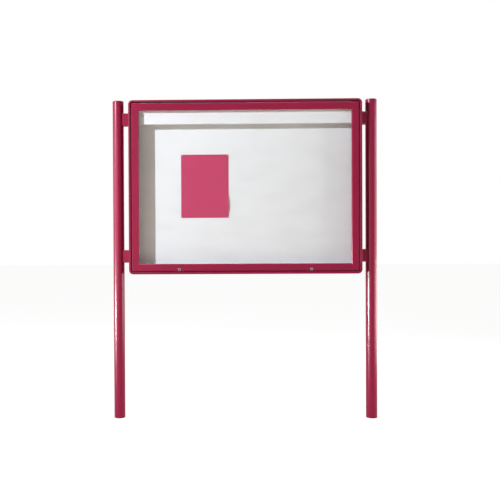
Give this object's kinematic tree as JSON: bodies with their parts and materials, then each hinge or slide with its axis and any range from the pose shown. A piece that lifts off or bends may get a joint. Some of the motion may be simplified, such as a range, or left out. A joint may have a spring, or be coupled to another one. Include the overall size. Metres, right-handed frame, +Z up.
{
  "type": "notice display case",
  "caption": "Outdoor notice display case between round posts: a shallow box whose glazed door is hung from the top, lifts on gas struts and is shut by cam locks.",
  "frame": {"origin": "ground level, in the middle of the footprint", "axes": "+Z up along the posts, +X along the case to the right as seen from the front, -Y out of the glazed front"},
  "size_m": [1.66, 0.1024, 2],
  "materials": {
    "case_paint": "gloss powder coat over extruded aluminium",
    "post_paint": "gloss powder coat over steel tube",
    "panel_white": "satin white coating on steel sheet",
    "cover_grey": "light grey coating on aluminium sheet",
    "clear_glass": "clear, polished",
    "gasket_rubber": "matt black",
    "lock_chrome": "bright plated",
    "zinc_steel": "zinc plated, satin",
    "black_steel": "satin black",
    "paper": "plain coloured sheet, matt",
    "magnet_plastic": "pale, smooth"
  },
  "bodies": {
    "case": {"post_left": "post_paint", "post_right": "post_paint", "post_cap_left": "post_paint", "post_cap_right": "post_paint", "bracket_left_top": "post_paint", "bracket_left_bottom": "post_paint", "bracket_right_top": "post_paint", "bracket_right_bottom": "post_paint", "bracket_bolt_left_top": "zinc_steel", "bracket_bolt_left_bottom": "zinc_steel", "bracket_bolt_right_top": "zinc_steel", "bracket_bolt_right_bottom": "zinc_steel", "case_rail_top": "case_paint", "case_rail_bottom": "case_paint", "case_rail_left": "case_paint", "case_rail_right": "case_paint", "case_corner_top_left": "case_paint", "case_corner_top_right": "case_paint", "case_corner_bottom_left": "case_paint", "case_corner_bottom_right": "case_paint", "rear_cover": "cover_grey", "back_panel": "panel_white", "header_panel": "panel_white", "header_bracket_left": "zinc_steel", "header_bracket_right": "zinc_steel", "door_gasket": "gasket_rubber", "lock_keeper_left": "zinc_steel", "lock_keeper_right": "zinc_steel", "strut_stud_left": "zinc_steel", "strut_stud_right": "zinc_steel", "hinge_case_leaf": "black_steel", "hinge_pin": "zinc_steel", "notice_sheet": "paper", "magnet_top_left": "magnet_plastic", "magnet_top_right": "magnet_plastic", "magnet_bottom_left": "magnet_plastic", "magnet_bottom_right": "magnet_plastic"},
    "door": {"door_rail_top": "case_paint", "door_rail_bottom": "case_paint", "door_stile_left": "case_paint", "door_stile_right": "case_paint", "glazing": "clear_glass", "glazing_seal": "gasket_rubber", "glazing_bead_top": "case_paint", "glazing_bead_bottom": "case_paint", "glazing_bead_left": "case_paint", "glazing_bead_right": "case_paint", "hinge_door_leaf": "black_steel", "lock_barrel_left": "lock_chrome", "lock_barrel_right": "lock_chrome", "strut_bracket_left": "zinc_steel", "strut_bracket_right": "zinc_steel"},
    "lock_left": {"lock_core_left": "lock_chrome", "lock_cam_left": "zinc_steel"},
    "lock_right": {"lock_core_right": "lock_chrome", "lock_cam_right": "zinc_steel"},
    "strut_cylinder_left": {"strut_cylinder_left": "black_steel"},
    "strut_cylinder_right": {"strut_cylinder_right": "black_steel"},
    "strut_rod_left": {"strut_rod_left": "zinc_steel"},
    "strut_rod_right": {"strut_rod_right": "zinc_steel"}
  },
  "joints": [
    {"name": "door_lift", "type": "hinge", "parent": "case", "child": "door", "pos_m": [0, -0.04525, 1.97675], "axis": [-1, 0, 0], "range_deg": [0, 80]},
    {"name": "lock_turn_left", "type": "hinge", "parent": "door", "child": "lock_left", "pos_m": [-0.41, -0.04975, 0.938], "axis": [0, 1, 0], "range_deg": [0, 90]},
    {"name": "lock_turn_right", "type": "hinge", "parent": "door", "child": "lock_right", "pos_m": [0.41, -0.04975, 0.938], "axis": [0, -1, 0], "range_deg": [0, 90]},
    {"name": "strut_swing_left", "type": "hinge", "parent": "door", "child": "strut_cylinder_left", "pos_m": [-0.688, -0.00775, 1.79675], "axis": [1, 0, 0], "range_deg": [0, 101.4]},
    {"name": "strut_slide_left", "type": "slide", "parent": "strut_cylinder_left", "child": "strut_rod_left", "axis": [0, 0.045, -0.999], "range_m": [0, 0.1593]},
    {"name": "strut_swing_right", "type": "hinge", "parent": "door", "child": "strut_cylinder_right", "pos_m": [0.688, -0.00775, 1.79675], "axis": [1, 0, 0], "range_deg": [0, 101.4]},
    {"name": "strut_slide_right", "type": "slide", "parent": "strut_cylinder_right", "child": "strut_rod_right", "axis": [0, 0.045, -0.999], "range_m": [0, 0.1593]}
  ],
  "couplings": [
    {"joint": "strut_swing_left", "follows": "door_lift", "ratio": 1.2659},
    {"joint": "strut_slide_left", "follows": "door_lift", "m_per_rad": 0.11401},
    {"joint": "strut_swing_right", "follows": "door_lift", "ratio": 1.2659},
    {"joint": "strut_slide_right", "follows": "door_lift", "m_per_rad": 0.11401}
  ]
}
